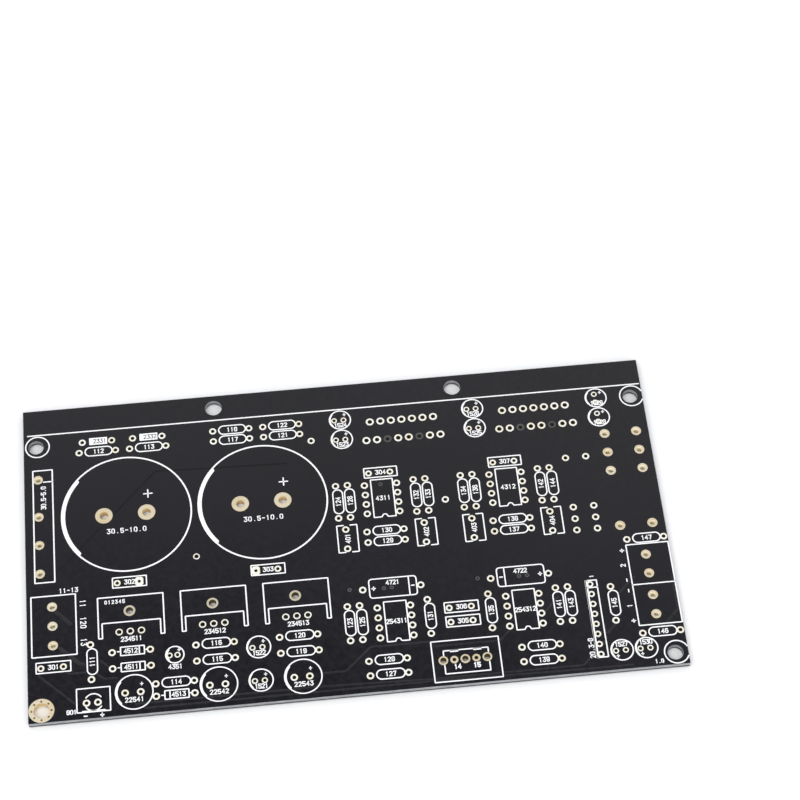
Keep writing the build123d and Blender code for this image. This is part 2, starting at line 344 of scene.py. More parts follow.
def ribbon(mesh, path, width, closed=False, low=TOP, high=TOP + PRINT_RISE):
    """A line of ink along a path, with rounded ends and softened edges."""
    slope = 1 - min(SOFT_EDGE, width * SOFT_SHARE) / (width / 2)
    points = [Vector(p) for p in path]
    stations = []
    count = len(points)
    for i, p in enumerate(points):
        before = points[i - 1] if closed or i else None
        after = points[(i + 1) % count] if closed or i < count - 1 else None
        first = (p - before).normalized() if before is not None else None
        second = (after - p).normalized() if after is not None else None
        along = (first or second) if first is None or second is None else (first + second).normalized()
        across = Vector((-along.y, along.x))
        base = second if second is not None else first
        stretch = 1 / max(LEAST_TURN, abs(across.dot(Vector((-base.y, base.x)))))
        stations.append((p, across, width / 2 * stretch))
    if not closed:
        caps = [math.radians(a) for a in CAP_ANGLES]
        for end in (0, -1):
            p, across, half = stations[end]
            along = Vector((across.y, -across.x)) * (-1 if end == 0 else 1)
            extra = [(p + along * half * math.sin(a), across, half * math.cos(a)) for a in caps]
            stations = extra[::-1] + stations if end == 0 else stations + extra
    rows = []
    for p, across, half in stations:
        inner = half * slope
        row = []
        for side, z in ((-half, low), (-inner, high), (inner, high), (half, low)):
            spot = p + across * side
            row.append(mesh.verts.new((spot.x * MM, spot.y * MM, z * MM)))
        rows.append(row)
    spans = len(rows) if closed else len(rows) - 1
    for i in range(spans):
        here, there = rows[i], rows[(i + 1) % len(rows)]
        for j in range(3):
            mesh.faces.new((here[j], there[j], there[j + 1], here[j + 1]))


def patch(mesh, points, low=TOP, high=TOP + PRINT_RISE):
    """A filled area of ink or metal."""
    bottom = [mesh.verts.new((x * MM, y * MM, low * MM)) for x, y in points]
    top = [mesh.verts.new((x * MM, y * MM, high * MM)) for x, y in points]
    mesh.faces.new(top)
    for i in range(len(points)):
        j = (i + 1) % len(points)
        mesh.faces.new((bottom[i], bottom[j], top[j], top[i]))


def oblong(box, corner=PATCH_CORNER):
    """A box's outline with small round corners."""
    x0, y0, x1, y1 = box
    return rounded([(x0, y0), (x1, y0), (x1, y1), (x0, y1)], corner, closed=True)


# Materials

# Noise scales, in patches per metre
FLOOR_DRIFT = 3
COAT_DRIFT = 28
STAINS = 140
SPECKLE = 900
RIPPLE = 2600
INK_GRAIN = 5200
METAL_GRAIN = 6000
CLOTH = (400, 400, 4200)

# The part of a noise's range that its values mostly fall in
NOISE_LOW, NOISE_HIGH = 0.3, 0.7

# The cut edge is painted darker below this height, as painted shade on the lower part of the edge, and its
# tone changes over a short way
EDGE_SHADE_HEIGHT, EDGE_CHANGE = 0.5, 0.2
EDGE_SHADE_SHARE = 0.14


def feed(tree, node, **inputs):
    """Sets a node's inputs by name, each to a value or from another node's output."""
    for name, given in inputs.items():
        socket = node.inputs[name.replace("_", " ")]
        if isinstance(given, bpy.types.NodeSocket):
            tree.links.new(given, socket)
        else:
            socket.default_value = given
    return node


def add(tree, kind, **inputs):
    """A new shader node with its inputs set."""
    return feed(tree, tree.nodes.new("ShaderNode" + kind), **inputs)


def nodes_of(name):
    material = bpy.data.materials.new(name)
    material.use_nodes = True
    tree = material.node_tree
    return material, tree, tree.nodes["Principled BSDF"]


def noise(tree, scale, detail):
    """A noise in the board's own coordinates."""
    place = add(tree, "TexCoord").outputs["Object"]
    return add(tree, "TexNoise", Vector=place, Scale=scale, Detail=detail).outputs["Fac"]


def ramp(tree, source, stops):
    """A colour ramp from (place, colour) stops."""
    made = add(tree, "ValToRGB", Fac=source)
    elements = made.color_ramp.elements
    while len(elements) < len(stops):
        elements.new(0.5)
    for element, (place, colour) in zip(elements, stops):
        element.position = place
        element.color = (*colour, 1)
    return made.outputs["Color"]


def spread(tree, source, low, high, start=NOISE_LOW, end=NOISE_HIGH):
    """Maps a value's range to another."""
    made = add(tree, "MapRange", Value=source, From_Min=start, From_Max=end, To_Min=low, To_Max=high)
    return made.outputs["Result"]


def bump(tree, source, strength, depth):
    """Small unevenness, its depth in millimetres."""
    return add(tree, "Bump", Height=source, Strength=strength, Distance=depth * MM).outputs["Normal"]


def make_mask(name, dark, light, rough, shine=0.4):
    """Black coat: nearly even, with broad drifts of tone, fine speckle and a slight ripple."""
    material, tree, shader = nodes_of(name)
    fine = noise(tree, SPECKLE, 3)
    blend = add(tree, "Mix", Factor=0.35, A=noise(tree, COAT_DRIFT, 2), B=fine)
    tones = ramp(tree, blend.outputs["Result"], [(0.35, dark), (0.65, light)])
    roughness = spread(tree, fine, rough - 0.05, rough + 0.07)
    uneven = bump(tree, noise(tree, RIPPLE, 2), 0.12, 0.02)
    feed(tree, shader, Base_Color=tones, Roughness=roughness, Specular_IOR_Level=shine, Normal=uneven)
    return material


def make_gold(name, stops, rough, metallic=0.75):
    """Pale immersion gold, warmer and duller in places; the bore linings made with it carry painted light and
    painted shade in their given tones.
    """
    material, tree, shader = nodes_of(name)
    tones = ramp(tree, noise(tree, STAINS, 2), stops)
    grain = noise(tree, METAL_GRAIN, 3)
    roughness = spread(tree, grain, rough, rough + 0.15)
    uneven = bump(tree, grain, 0.25, 0.01)
    feed(tree, shader, Base_Color=tones, Roughness=roughness, Metallic=metallic, Normal=uneven)
    return material


def make_ink():
    """White print, a little thin and grainy."""
    material, tree, shader = nodes_of("white_print")
    grain = noise(tree, INK_GRAIN, 4)
    tones = ramp(tree, grain, [(0.25, (0.8, 0.81, 0.83)), (0.5, (0.95, 0.955, 0.96))])
    roughness = spread(tree, grain, 0.5, 0.68)
    feed(tree, shader, Base_Color=tones, Roughness=roughness, Normal=bump(tree, grain, 0.3, 0.02))
    return material


def make_laminate():
    """Cut glass-epoxy: cool grey, with the cloth showing as fine lines, and painted shade darkening the lower
    third.
    """
    material, tree, shader = nodes_of("laminate")
    place = add(tree, "TexCoord").outputs["Object"]
    stretched = add(tree, "Mapping", Vector=place, Scale=CLOTH).outputs["Vector"]
    layers = add(tree, "TexNoise", Vector=stretched, Scale=1, Detail=3).outputs["Fac"]
    tones = ramp(tree, layers, [(0.3, (0.19, 0.195, 0.206)), (0.6, (0.37, 0.378, 0.396))])
    height = add(tree, "SeparateXYZ", Vector=place).outputs["Z"]
    start, end = EDGE_SHADE_HEIGHT * MM, (EDGE_SHADE_HEIGHT + EDGE_CHANGE) * MM
    shaded = add(tree, "VectorMath")
    shaded.operation = "SCALE"
    # Painted shade: the edge's colour is scaled down towards its foot
    feed(tree, shaded, Vector=tones, Scale=spread(tree, height, EDGE_SHADE_SHARE, 1, start, end))
    roughness = spread(tree, layers, 0.55, 0.8)
    uneven = bump(tree, layers, 0.5, 0.06)
    feed(tree, shader, Base_Color=shaded.outputs["Vector"], Roughness=roughness, Normal=uneven)
    return material


def make_floor():
    """Plain pale paper."""
    material, tree, shader = nodes_of("pale_floor")
    drift = noise(tree, FLOOR_DRIFT, 2)
    tones = ramp(tree, drift, [(0.2, (0.88, 0.885, 0.89)), (0.8, (0.91, 0.912, 0.915))])
    feed(tree, shader, Base_Color=tones, Roughness=spread(tree, drift, 0.75, 0.85))
    return material


mask = make_mask("black_mask", (0.0026, 0.0025, 0.005), (0.0047, 0.0045, 0.008), 0.22)
raised_mask = make_mask("black_mask_over_copper", (0.0095, 0.0086, 0.0112), (0.0175, 0.0158, 0.0192), 0.3)
seam_mask = make_mask("black_mask_over_gap", (0.0017, 0.0017, 0.0022), (0.003, 0.0029, 0.0037), 0.45, 0.25)
grey_mask = make_mask("grey_mask", (0.045, 0.045, 0.044), (0.085, 0.085, 0.08), 0.45)
gold = make_gold(
    "gold", [(0.3, (0.78, 0.64, 0.42)), (0.5, (0.82, 0.71, 0.5)), (0.7, (0.84, 0.76, 0.58))], 0.34)
pale_gold = make_gold(
    "pale_gold", [(0.3, (0.9, 0.85, 0.7)), (0.5, (0.95, 0.93, 0.84)), (0.7, (0.97, 0.96, 0.9))], 0.38, 0.45)
lug_gold = make_gold("lug_gold", [(0.3, (0.6, 0.54, 0.4)), (0.7, (0.72, 0.67, 0.52))], 0.38)
# Painted light: a near-white tan, not metal, that stands in for the lit far walls of the large bores
painted_light_bore = make_gold("painted_light_bore", [(0.3, (0.93, 0.82, 0.58)), (0.7, (0.97, 0.9, 0.72))], 0.5, 0)
# The bore plating's own gold, darkened and deepened by painted shade inside the bores
bore_gold_painted_shade = make_gold("bore_gold_painted_shade", [(0.3, (0.66, 0.48, 0.22)), (0.7, (0.8, 0.62, 0.34))], 0.42, 0.3)
# Painted shade: a dark olive copy of the plating for the lug and connector bores, standing in for the shade
# inside them
painted_shade_olive_bore = make_gold("painted_shade_olive_bore", [(0.3, (0.13, 0.105, 0.045)), (0.7, (0.2, 0.165, 0.08))], 0.42)
# Painted shade: a near-black copy of the plating for the small bores, standing in for the shade inside them
painted_shade_small_bore = make_gold(
    "painted_shade_small_bore", [(0.3, (0.05, 0.037, 0.016)), (0.7, (0.085, 0.063, 0.03))], 0.55, 0.3)
ink = make_ink()
laminate = make_laminate()


# Holes and lands

class Land:
    """A plated hole: where it is, its land, its drill and what it takes."""

    def __init__(self, x, y, land, drill, kind):
        self.x = x
        self.y = y
        self.land = land
        self.underside = None
        self.drill = drill
        self.kind = kind

    def below(self):
        """The land's diameter on the solder side."""
        return self.underside or self.land

    def round_hole(self, diameter):
        return circle(self.x, self.y, diameter / 2, ROUND_STEPS)


def pairs_of_rims(node):
    """Land and bore of each plated hole in a node."""
    found = rims(node)
    lands = []
    for x, y, radius in found:
        inside = [r for u, v, r in found if math.hypot(u - x, v - y) < SAME_PLACE / 2 and r < radius - THIN]
        if inside:
            lands.append((x, y, radius, inside[0]))
    return lands


outlines = {
    node.removesuffix("_outlines"): boxes(node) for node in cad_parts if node.endswith("_outlines")
}
board_rims = sorted(rims("board"), key=lambda rim: -rim[2])[1:]
land_nodes = sorted(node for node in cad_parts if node.endswith("_lands"))
big_lands = [
    Land(x, y, 2 * radius, 2 * bore, node.removesuffix("_lands"))
    for node in land_nodes for x, y, radius, bore in pairs_of_rims(node)
]
earth_x, earth_y, earth_radius, earth_bore = pairs_of_rims("earth_land")[0]


def lands_of(kind):
    """The large lands of a kind, from left to right and from front to rear."""
    return sorted((land for land in big_lands if land.kind == kind), key=lambda land: (land.x, land.y))


# Every other pin of the input connector is a thick post, and the two signal pins between them are thin
connector_pins = lands_of("input_connector")
for number, land in enumerate(connector_pins):
    land.land, land.drill = (SIGNAL_LAND, SIGNAL_DRILL) if number % 2 else (POST_LAND, POST_DRILL)

# The test point's land is small on the print side and wide on the solder side
for land in lands_of("test_point"):
    land.land, land.underside = TEST_LAND_TOP, TEST_LAND_UNDERSIDE


def small_land(x, y, radius):
    """The small land round a drilled hole, by its radius and by the outline that it stands in."""
    inside = [kind for kind, found in outlines.items() if any(holds(box, x, y) for box in found)]
    land, kind = WIRE_LAND, "wire"
    if radius > WIRE_RADIUS:
        land, kind = (PIN_LAND if y > POWER_CHIPS else REGULATOR_PIN_LAND), "pin"
    elif "protection_chip" in inside:
        land, kind = CHIP_PIN_LAND, "protection"
    elif "box_capacitor" in inside:
        land, kind = BOX_LAND, "box"
    elif radius < THIN_WIRE_RADIUS:
        land, kind = CAN_LAND, "can"
    return Land(x, y, land, 2 * radius + BORE_ALLOWANCE, kind)


large_places = [(earth_x, earth_y)] + [(land.x, land.y) for land in big_lands]
drilled = [
    (x, y, radius) for x, y, radius in board_rims
    if all(math.hypot(x - u, y - v) > SAME_PLACE for u, v in large_places)
]
plain_holes = [hole for hole in drilled if hole[2] > PIN_RADIUS]
small_lands = [small_land(*hole) for hole in drilled if hole[2] <= PIN_RADIUS]

# Each power chip's front row of eight leads has two that are covered by the coat
CHIP_LEADS = 8
COVERED_LEADS = (2, 5)
ROW_DEPTH = 1.0
pins = [land for land in small_lands if land.kind == "pin" and land.y > POWER_CHIPS]
front_row = min(land.y for land in pins)
front_pins = sorted((land for land in pins if land.y < front_row + ROW_DEPTH), key=lambda land: land.x)
for row in (front_pins[:CHIP_LEADS], front_pins[CHIP_LEADS:2 * CHIP_LEADS]):
    for i in COVERED_LEADS:
        row[i].kind = "covered"
        row[i].land = COVERED_LAND

# Jumper squares of the underside. A via stands in four of them, two at each end, and three vias stand alone.
JUMPERS = [(x, 25.75) for x in (81.95, 83.75, 85.6, 111.5, 113.25, 115.1)]
JUMPER_SIZE = 1.4
VIAS = [(83.75, 53.1), (74.05, 26.1), (103.65, 26.1)] + JUMPERS[:2] + JUMPERS[-2:]

covered = [land for land in small_lands if land.kind == "covered"]
covered += [Land(*at(x, y), VIA_LAND, VIA_DRILL, "covered") for x, y in VIAS]
plated = big_lands + [land for land in small_lands if land.kind != "covered"]

# The pin nearer the middle of each reservoir's bypass capacitor has a cut-corner land
BYPASS_FRONT, BYPASS_REAR = FRONT + 30, FRONT + 36
CUT_CORNER_COLUMNS = (26.0, 52.9)
COLUMN_REACH = 0.6


def cut_cornered(land):
    in_row = land.kind == "box" and BYPASS_FRONT < land.y < BYPASS_REAR
    return in_row and any(abs(land.x - LEFT - x) < COLUMN_REACH for x in CUT_CORNER_COLUMNS)


def eight_corners(land):
    half_x, half_y, cut = 0.95, 1.12, 0.42
    x, y = land.x, land.y
    return [
        (x - half_x + cut, y - half_y), (x + half_x - cut, y - half_y), (x + half_x, y - half_y + cut),
        (x + half_x, y + half_y - cut), (x + half_x - cut, y + half_y), (x - half_x + cut, y + half_y),
        (x - half_x, y + half_y - cut), (x - half_x, y - half_y + cut),
    ]


def ring_profile(land):
    """The section of a plated hole: two flat rims joined by a lined bore."""
    outer, bore = land.land / 2, land.drill / 2
    below = land.below() / 2
    edge = min(LAND_EDGE, (outer - bore) / 4)
    top, low = TOP + LAND_RISE, 0.0
    return [
        (outer, TOP - MASK_DEPTH), (outer, top - edge), (outer - edge, top), (bore + edge, top - LAND_DISH),
        (bore, top - edge - THIN), (bore, low + edge + THIN), (bore + edge, low + LAND_DISH),
        (below - edge, low), (below, low + edge), (below, MASK_DEPTH), (bore + WALL, MASK_DEPTH + THIN),
        (bore + WALL, TOP - MASK_DEPTH - THIN),
    ]


# The sides of that section that line the bore
BORE_SIDES = (3, 4, 5)

EARTH_HOLES = 8
EARTH_HOLE_RADIUS = 0.27
EARTH_HOLES_INWARD = 0.1
earth_hole_circle = (earth_radius + earth_bore) / 2 - EARTH_HOLES_INWARD
earth_hole_places = circle(earth_x, earth_y, earth_hole_circle, EARTH_HOLES)
earth_holes = [circle(x, y, EARTH_HOLE_RADIUS, TINY_STEPS) for x, y in earth_hole_places]


# Board

def make_core():
    """Laminate core: grey, seen at the cut edges and in the plain holes."""
    plate = oblong((LEFT, FRONT, RIGHT, REAR), END_ROUND)
    bores = [land.round_hole(land.drill + 2 * LINING) for land in plated]
    bores += [land.round_hole(land.drill) for land in covered]
    bores += [circle(x, y, radius, HOLE_STEPS) for x, y, radius in plain_holes]
    bores += [circle(earth_x, earth_y, earth_bore + LINING, HOLE_STEPS)] + earth_holes
    core = sheet("laminate", plate, bores, MASK_DEPTH, TOP - MASK_DEPTH)
    piece("laminate", core, [laminate], ["board"])


def make_coats():
    """Coats on both sides, open over the lands and a little back from the plain holes."""
    coat = oblong((LEFT + COAT_INSET, FRONT + COAT_INSET, RIGHT - COAT_INSET, REAR - COAT_INSET), END_ROUND)
    shared = [land.round_hole(land.drill) for land in covered]
    shared += [circle(x, y, radius + LINING, HOLE_STEPS) for x, y, radius in plain_holes]
    shared += [circle(earth_x, earth_y, earth_radius, EARTH_STEPS)]
    shared += [eight_corners(land) for land in plated if cut_cornered(land)]
    whole = [land for land in plated if not cut_cornered(land)]
    openings = [land.round_hole(land.land) for land in whole]
    openings_below = [land.round_hole(land.below()) for land in whole]
    top = sheet("mask_top", coat, openings + shared, TOP - MASK_DEPTH, TOP)
    underside = sheet("mask_underside", coat, openings_below + shared, TRACK_RISE, MASK_DEPTH)
    piece("mask_top", top, [mask], ["board"])
    piece("mask_underside", underside, [mask], ["board"])


make_core()
make_coats()


# Lands

# Faces and linings that look different from the rest. The linings' tones are painted light on the large bores
# and painted shade on the others.
FACES = {"regulator_lug": lug_gold, "test_point": pale_gold}
LININGS = {
    "bridge_rectifier": painted_light_bore,
    "mains_terminal": painted_light_bore,
    "output_terminal": painted_light_bore,
    "relay": painted_light_bore,
    "regulator_lug": painted_shade_olive_bore,
    "input_connector": painted_shade_olive_bore,
    "test_point": painted_shade_small_bore,
}

# The two faces of a land that lies flush in the coat, from its foot to its face
FLAT_FACES = (("top", TOP - MASK_DEPTH, TOP + LAND_RISE), ("underside", 0.0, MASK_DEPTH))


def make_large_lands(node):
    kind = node.removesuffix("_lands")
    mesh = bmesh.new()
    for land in lands_of(kind):
        lathe(mesh, land.x, land.y, ring_profile(land), LAND_STEPS, BORE_SIDES)
    metals = [FACES.get(kind, gold), LININGS.get(kind, bore_gold_painted_shade)]
    piece(kind + "_plating", mesh, metals, [node])


def make_small_lands():
    mesh = bmesh.new()
    for land in small_lands:
        if land in plated and not cut_cornered(land):
            lathe(mesh, land.x, land.y, ring_profile(land), SMALL_LAND_STEPS, BORE_SIDES)
    piece("small_lands", mesh, [pale_gold, painted_shade_small_bore])


def lining(radius, low, depth=LINING, rim=0.0):
    """The section of a lined bore, with its lower rim sloped."""
    return [(radius + depth, low), (radius, low + rim), (radius, TOP), (radius + depth, TOP)]


def make_cut_corner_land(number, land):
    for side, low, high in FLAT_FACES:
        plating = sheet("cut_corner", eight_corners(land), [land.round_hole(land.drill)], low, high)
        piece(f"cut_corner_land_{side}_{number}", plating, [pale_gold])
    bore = bmesh.new()
    lathe(bore, land.x, land.y, lining(land.drill / 2, MASK_DEPTH))
    piece(f"cut_corner_bore_{number}", bore, [painted_shade_small_bore])


def make_covered_lands():
    """Lands that the coat runs over, each a low grey ring."""
    widest_rim = 0.1
    mesh = bmesh.new()
    for land in covered:
        outer, bore = land.land / 2, land.drill / 2
        rim = min(widest_rim, (outer - bore) / 3)
        for low, high in ((TOP, TOP + LAND_RISE), (MASK_DEPTH, 0.0)):
            ring = [(outer, low), (outer - rim, high), (bore + rim, high), (bore, low)]
            lathe(mesh, land.x, land.y, ring, SMALL_LAND_STEPS)
        lathe(mesh, land.x, land.y, lining(bore - THIN, THIN, WALL), SMALL_LAND_STEPS)
    piece("covered_lands", mesh, [grey_mask])


def make_earth_land():
    """Two rings pierced by small holes, and the lined bores."""
    rim = circle(earth_x, earth_y, earth_radius, EARTH_STEPS)
    openings = [circle(earth_x, earth_y, earth_bore, HOLE_STEPS)] + earth_holes
    for side, low, high in FLAT_FACES:
        ring = sheet("earth", rim, openings, low, high)
        piece(f"earth_land_{side}", ring, [gold], ["earth_land"])
    bores = bmesh.new()
    lathe(bores, earth_x, earth_y, lining(earth_bore, 0.0, rim=LINING), HOLE_STEPS)
    for x, y in earth_hole_places:
        lathe(bores, x, y, lining(EARTH_HOLE_RADIUS - THIN, 0.0, rim=LINING), TINY_STEPS)
    piece("earth_bores", bores, [bore_gold_painted_shade], ["earth_land"])


for node in land_nodes:
    make_large_lands(node)
make_small_lands()
for number, land in enumerate(land for land in plated if cut_cornered(land)):
    make_cut_corner_land(number, land)
make_covered_lands()
make_earth_land()


# Print

# Strokes on a grid of four by six
GRID_WIDE, GRID_HIGH = 4, 6
DIGITS = {
    "0": [[(1, 0), (0, 1), (0, 5), (1, 6), (3, 6), (4, 5), (4, 1), (3, 0), (1, 0)]],
    "1": [[(1, 5), (2, 6), (2, 0)]],
    "2": [[(0, 5), (1, 6), (3, 6), (4, 5), (4, 4), (0, 0), (4, 0)]],
    "3": [[(0, 6), (4, 6), (2, 3.6), (3, 3.6), (4, 2.6), (4, 1), (3, 0), (1, 0), (0, 1)]],
    "4": [[(3, 0), (3, 6), (0, 2), (4, 2)]],
    "5": [[(4, 6), (0, 6), (0, 3.4), (3, 3.4), (4, 2.4), (4, 1), (3, 0), (1, 0), (0, 1)]],
    "6": [[(4, 5), (3, 6), (1, 6), (0, 5), (0, 1), (1, 0), (3, 0), (4, 1), (4, 2.4), (3, 3.4), (0, 3.4)]],
    "7": [[(0, 6), (4, 6), (1.5, 0)]],
    "8": [[(1, 3.2), (0, 4.1), (0, 5.2), (1, 6), (3, 6), (4, 5.2), (4, 4.1), (3, 3.2), (1, 3.2)],
          [(1, 3.2), (0, 2.2), (0, 1), (1, 0), (3, 0), (4, 1), (4, 2.2), (3, 3.2)]],
    "9": [[(0, 1), (1, 0), (3, 0), (4, 1), (4, 5), (3, 6), (1, 6), (0, 5), (0, 3.6), (1, 2.6), (4, 2.6)]],
    "-": [[(0.3, 3), (3.7, 3)]],
    "+": [[(0, 3), (4, 3)], [(2, 1), (2, 5)]],
    ".": [[(2, 0), (2, 0.2)]],
}


def write(mesh, text, x, y, turn=0, height=DIGIT_HEIGHT, step=DIGIT_STEP, width=DIGIT_WIDTH,
          stroke=DIGIT_STROKE, **levels):
    """Draws a number about its middle."""
    turned = Matrix.Rotation(math.radians(turn), 2)
    for i, character in enumerate(text):
        shift = (i - (len(text) - 1) / 2) * step - width / 2
        for strokes in DIGITS[character]:
            path = []
            for u, v in strokes:
                spot = turned @ Vector((shift + u / GRID_WIDE * width, (v / GRID_HIGH - 0.5) * height))
                path.append((x + spot.x, y + spot.y))
            ribbon(mesh, path, stroke, **levels)


def sign(mesh, text, x, y, turn=0):
    """A bold plus or minus."""
    write(mesh, text, x, y, turn, SIGN_HEIGHT, 0, SIGN_WIDTH, SIGN_STROKE)


def line(mesh, points, width=LINE, closed=False, corner=CORNER):
    ribbon(mesh, rounded(points, corner, closed), width, closed)


def middle_of(box, width=LINE):
    """The box that the middle of a line of this width follows."""
    half = width / 2
    return box[0] + half, box[1] + half, box[2] - half, box[3] - half


def frame_box(mesh, box, corner=CORNER, width=LINE, open_middle=0.0):
    """A drawn box. With open_middle its short sides are open at their middles."""
    x0, y0, x1, y1 = middle_of(box, width)
    if not open_middle:
        line(mesh, [(x0, y0), (x1, y0), (x1, y1), (x0, y1)], width, True, corner)
        return
    middle = (x0 + x1) / 2
    for side, x in ((-1, x0), (1, x1)):
        inner = middle + side * open_middle / 2
        line(mesh, [(inner, y0), (x, y0), (x, y1), (inner, y1)], width, False, corner)


def arc(mesh, x, y, radius, start, end, width=LINE, steps=CIRCLE_STEPS, **levels):
    """Part of a circle, between two angles in degrees."""
    count = max(2, round(steps * (end - start) / 360))
    angles = [math.radians(start + (end - start) * i / count) for i in range(count + 1)]
    path = [(x + radius * math.cos(a), y + radius * math.sin(a)) for a in angles]
    if end - start >= 360:
        ribbon(mesh, path[:-1], width, closed=True, **levels)
    else:
        ribbon(mesh, path, width, **levels)


def capsule(mesh, box):
    """A round-ended body."""
    x0, y0, x1, y1 = middle_of(box)
    radius = min(x1 - x0, y1 - y0) / 2
    if is_upright(box):
        ends = (((x0 + x1) / 2, y1 - radius, 0), ((x0 + x1) / 2, y0 + radius, 180))
    else:
        ends = ((x1 - radius, (y0 + y1) / 2, -90), (x0 + radius, (y0 + y1) / 2, 90))
    path = []
    for x, y, start in ends:
        for i in range(CAPSULE_STEPS + 1):
            angle = math.radians(start + 180 * i / CAPSULE_STEPS)
            path.append((x + radius * math.cos(angle), y + radius * math.sin(angle)))
    ribbon(mesh, path, LINE, closed=True)


def bold_ring(mesh, x, y, radius, line_width, bold, steps=CIRCLE_STEPS):
    """A circle with a bold arc on the side of the negative lead."""
    thin_start = 180 + BOLD_REACH - BOLD_OVERLAP
    arc(mesh, x, y, radius, thin_start, 720 - thin_start, line_width, steps)
    inner = radius - (bold - line_width) / 2
    arc(mesh, x, y, inner, 180 - BOLD_REACH, 180 + BOLD_REACH, bold, steps, high=BOLD_TOP)


# The last number given to each kind of part, which sets how long its numbers are
last_numbers = {
    "resistor": 110,
    "small_diode": 2330,
    "power_diode": 4510,
    "box_capacitor": 300,
    "film_capacitor": 400,
    "coupling_capacitor": 4720,
    "can": 1520,
    "small_can": 4350,
    "large_can": 22540,
    "light": 900,
    "front_chip": 254310,
    "rear_chip": 4310,
    "regulator": 234510,
}


def next_number(kind):
    last_numbers[kind] += 1
    return str(last_numbers[kind])


class CanPrint:
    """How a kind of round can is drawn: its bold arc, and where its plus sign and its number stand."""

    def __init__(self, kind, bold, plus, label, step):
        self.kind = kind
        self.bold = bold
        self.plus = plus
        self.label = label
        self.step = step

    def draw(self, mesh, box, way=1):
        x, y = centre(box)
        bold_ring(mesh, x, y, (box[2] - box[0] - LINE) / 2, LINE, self.bold)
        write(mesh, "+", x + way * self.plus[0], y + way * self.plus[1], height=PLUS_HEIGHT)
        write(mesh, next_number(self.kind), x, y + way * self.label, step=self.step)


CAN = CanPrint("can", bold=0.45, plus=(1.1, 1.4), label=-1.45, step=0.75)
SMALL_CAN = CanPrint("small_can", bold=0.55, plus=(1.0, 1.15), label=-2.95, step=0.82)
LARGE_CAN = CanPrint("large_can", bold=0.6, plus=(1.75, 1.85), label=-1.85, step=0.88)


# One outline of a kind

def draw_resistor(mesh, box):
    capsule(mesh, box)
    write(mesh, next_number("resistor"), *centre(box), 90 if is_upright(box) else 0)


def draw_small_diode(mesh, box):
    patch(mesh, oblong(box))


def draw_power_diode(mesh, box):
    lead, lead_end, band_inset = 0.65, 0.1, 1.3
    x0, y0, x1, y1 = box
    x, y = centre(box)
    frame_box(mesh, (x0 + lead, y0, x1 - lead, y1))
    # The diode in the front row is turned round
    way = -1 if y < FRONT_DIODES else 1
    band = x + way * ((x1 - x0) / 2 - lead - band_inset)
    line(mesh, [(band, y0 + LINE), (band, y1 - LINE)])
    for side in (-1, 1):
        tip = x + side * (x1 - x0) / 2
        line(mesh, [(tip - side * lead_end, y), (tip - side * (lead - LINE / 2), y)])
    write(mesh, next_number("power_diode"), x - way * 0.4, y, step=0.8)


def draw_box_capacitor(mesh, box):
    frame_box(mesh, box)
    write(mesh, next_number("box_capacitor"), *centre(box))


def draw_coupling(mesh, box):
    corner, band_inset, plus_inset, minus_inset, label = 0.8, 1.9, 1.15, 1.05, 1.25
    channel_x = sum(land.x for land in connector_pins) / len(connector_pins)
    x, y = centre(box)
    frame_box(mesh, box, corner)
    # The two channels mirror each other
    way = 1 if x < channel_x else -1
    reach = (box[2] - box[0]) / 2
    band = x + way * (reach - band_inset)
    line(mesh, [(band, box[1] + LINE), (band, box[3] - LINE)])
    sign(mesh, "-", x + way * (reach - minus_inset), y)
    sign(mesh, "+", x - way * (reach - plus_inset), y)
    write(mesh, next_number("coupling_capacitor"), x, y + label, step=0.8)


def draw_close_can(mesh, box):
    """A can in a close row. Those in the board's right front corner are turned round."""
    x, y = centre(box)
    CAN.draw(mesh, box, -1 if x > CORNER_CANS_LEFT and y < CORNER_CANS_REAR else 1)


def draw_reservoir(mesh, box):
    ring_line, cross_reach, label = 0.38, 1.0, -4.4
    x, y = centre(box)
    bold_ring(mesh, x, y, (box[2] - box[0] - ring_line) / 2, ring_line, BOLD, 2 * CIRCLE_STEPS)
    cross_x, cross_y = x + 5.2, y + 4.85
    line(mesh, [(cross_x - cross_reach, cross_y), (cross_x + cross_reach, cross_y)])
    line(mesh, [(cross_x, cross_y - cross_reach), (cross_x, cross_y + cross_reach)])
    write(mesh, "30.5-10.0", x - 0.15, y + label, height=1.1, step=1.05, width=0.62)


def draw_chip(mesh, box):
    x, y = centre(box)
    x0, y0, x1, y1 = middle_of(box)
    notch = [(-0.75, 0), (-0.4, 0.62), (0, 0.75), (0.4, 0.62), (0.75, 0)]
    outline = [(x + u, y0 + v) for u, v in notch] + [(x1, y0), (x1, y1), (x0, y1), (x0, y0)]
    line(mesh, outline, closed=True)
    kind, step = ("front_chip", 0.82) if y < FRONT_CHIPS else ("rear_chip", 0.9)
    write(mesh, next_number(kind), x, y, step=step)


def draw_regulator(mesh, box):
    leg, foot, label = 1.15, 3.75, 0.62
    x0, y0, x1, y1 = middle_of(box)
    left, right, inner = x0 + leg - LINE, x1 - leg + LINE, y0 + foot
    outline = [(x0, y1), (x1, y1), (x1, y0), (right, y0), (right, inner), (left, inner), (left, y0), (x0, y0)]
    line(mesh, outline, FIRM_LINE, True)
    write(mesh, next_number("regulator"), centre(box)[0] - 0.1, y0 - label, step=0.82)
    if box is outlines["regulator"][0]:
        write(mesh, "012345", x0 + 3.9, y1 - 1.25, height=0.8, step=0.82, width=0.4, stroke=0.2)


def draw_bridge(mesh, box):
    band_inset, band_start, band_end, label = 3.35, 2.3, 0.2, 4.3
    frame_box(mesh, box, width=FIRM_LINE)
    y = box[3] - band_inset
    line(mesh, [(box[2] - band_start, y), (box[2] - band_end, y)])
    write(mesh, "30.5-5.0", centre(box)[0] + 0.1, y - label, 90, step=0.78)


